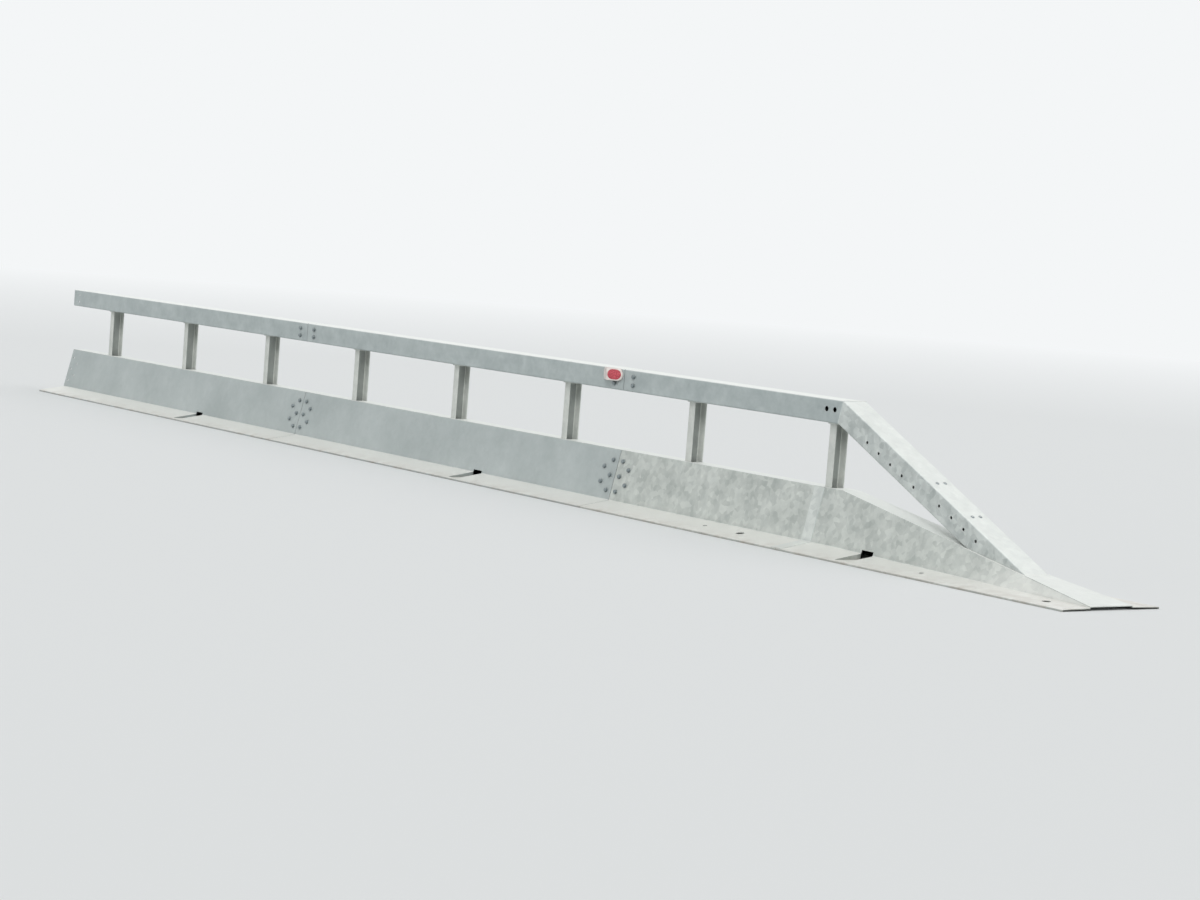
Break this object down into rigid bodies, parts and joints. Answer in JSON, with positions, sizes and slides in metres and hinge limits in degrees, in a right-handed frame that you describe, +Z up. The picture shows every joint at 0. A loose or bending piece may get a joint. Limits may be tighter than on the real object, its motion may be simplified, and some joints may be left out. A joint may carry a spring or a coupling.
{
  "type": "highway guardrail section",
  "caption": "Free-standing galvanised steel road barrier with a box rail on short posts over a closed lower body, ramped down to the ground at one end.",
  "frame": {"origin": "centre of the base on the ground, midway between the tip of the nose and the open joint at the far end", "axes": "+X along the barrier towards the ramped nose, -Y towards the traffic, +Z up"},
  "size_m": [12.2432, 0.74, 0.9],
  "materials": {
    "galvanised_panel": "hot-dip galvanised folded sheet, matt with a fine spangle",
    "galvanised_cap": "hot-dip galvanised plate, bright and slightly mottled",
    "galvanised_rail": "hot-dip galvanised box section, blue-grey satin",
    "galvanised_post": "hot-dip galvanised rolled section, matt grey",
    "galvanised_inner": "hot-dip galvanised plate, dull grey inside the body",
    "reflector_housing": "pale grey moulded plastic",
    "reflector_lens": "red prismatic reflector"
  },
  "bodies": {
    "root": {"terminal_front_panel": "galvanised_panel", "terminal_rear_panel": "galvanised_panel", "terminal_cap": "galvanised_cap", "terminal_rail": "galvanised_rail", "taper_front_panel": "galvanised_panel", "taper_rear_panel": "galvanised_panel", "front_seam_strip": "galvanised_cap", "rear_seam_strip": "galvanised_cap", "ramp_cap": "galvanised_cap", "ramp_rail": "galvanised_rail", "nose_plate": "galvanised_cap", "nose_frame": "galvanised_inner", "near_front_panel": "galvanised_panel", "near_rear_panel": "galvanised_panel", "near_cap": "galvanised_cap", "near_rail": "galvanised_rail", "far_front_panel": "galvanised_panel", "far_rear_panel": "galvanised_panel", "far_cap": "galvanised_cap", "far_rail": "galvanised_rail", "post_1": "galvanised_post", "post_2": "galvanised_post", "post_3": "galvanised_post", "post_4": "galvanised_post", "post_5": "galvanised_post", "post_6": "galvanised_post", "post_7": "galvanised_post", "post_8": "galvanised_post", "frame_1": "galvanised_inner", "frame_2": "galvanised_inner", "frame_3": "galvanised_inner", "frame_4": "galvanised_inner", "frame_5": "galvanised_inner", "frame_6": "galvanised_inner", "frame_7": "galvanised_inner", "frame_8": "galvanised_inner", "near_front_splice": "galvanised_inner", "near_rear_splice": "galvanised_inner", "near_rail_sleeve": "galvanised_inner", "far_front_splice": "galvanised_inner", "far_rear_splice": "galvanised_inner", "far_rail_sleeve": "galvanised_inner", "reflector_housing": "reflector_housing", "reflector_lens": "reflector_lens"}
  },
  "joints": []
}
